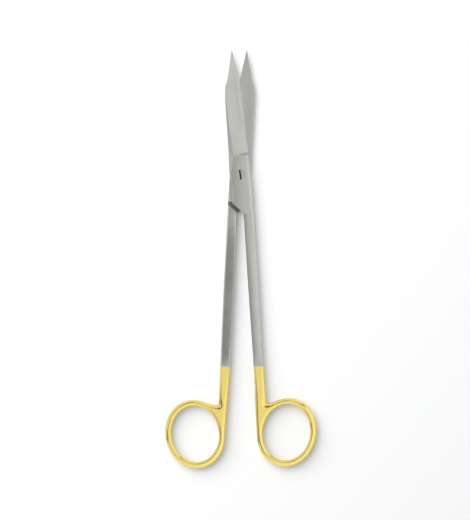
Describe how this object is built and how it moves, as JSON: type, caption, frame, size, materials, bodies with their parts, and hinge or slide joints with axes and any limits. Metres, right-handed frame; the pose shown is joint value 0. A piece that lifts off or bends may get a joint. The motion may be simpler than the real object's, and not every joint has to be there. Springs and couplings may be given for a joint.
{
  "type": "cartilage scissors",
  "caption": "Straight surgical scissors for cutting cartilage: forged steel halves on a slotted pivot screw, carbide cutting edges, long shanks and gold-plated finger rings.",
  "frame": {"origin": "where the pivot axis meets the face that the scissors rest on, at the flush end of the pivot screw", "axes": "+Y from the pivot towards the blade tips, +Z along the pivot axis up to the slotted screw head, +X towards the front half's finger ring"},
  "size_m": [0.0687, 0.1893, 0.0046],
  "materials": {
    "satin_steel": "satin, the rings and lower shanks gold plated",
    "screw_steel": "satin",
    "tungsten_carbide": "ground"
  },
  "bodies": {
    "rear": {"rear_half": "satin_steel", "pivot_screw": "screw_steel", "rear_edge_insert": "tungsten_carbide"},
    "front": {"front_half": "satin_steel", "front_edge_insert": "tungsten_carbide"}
  },
  "joints": [
    {"name": "pivot", "type": "hinge", "parent": "rear", "child": "front", "pos_m": [0, 0, 0.0023], "axis": [0, 0, 1], "range_deg": [-6.96, 83]}
  ]
}
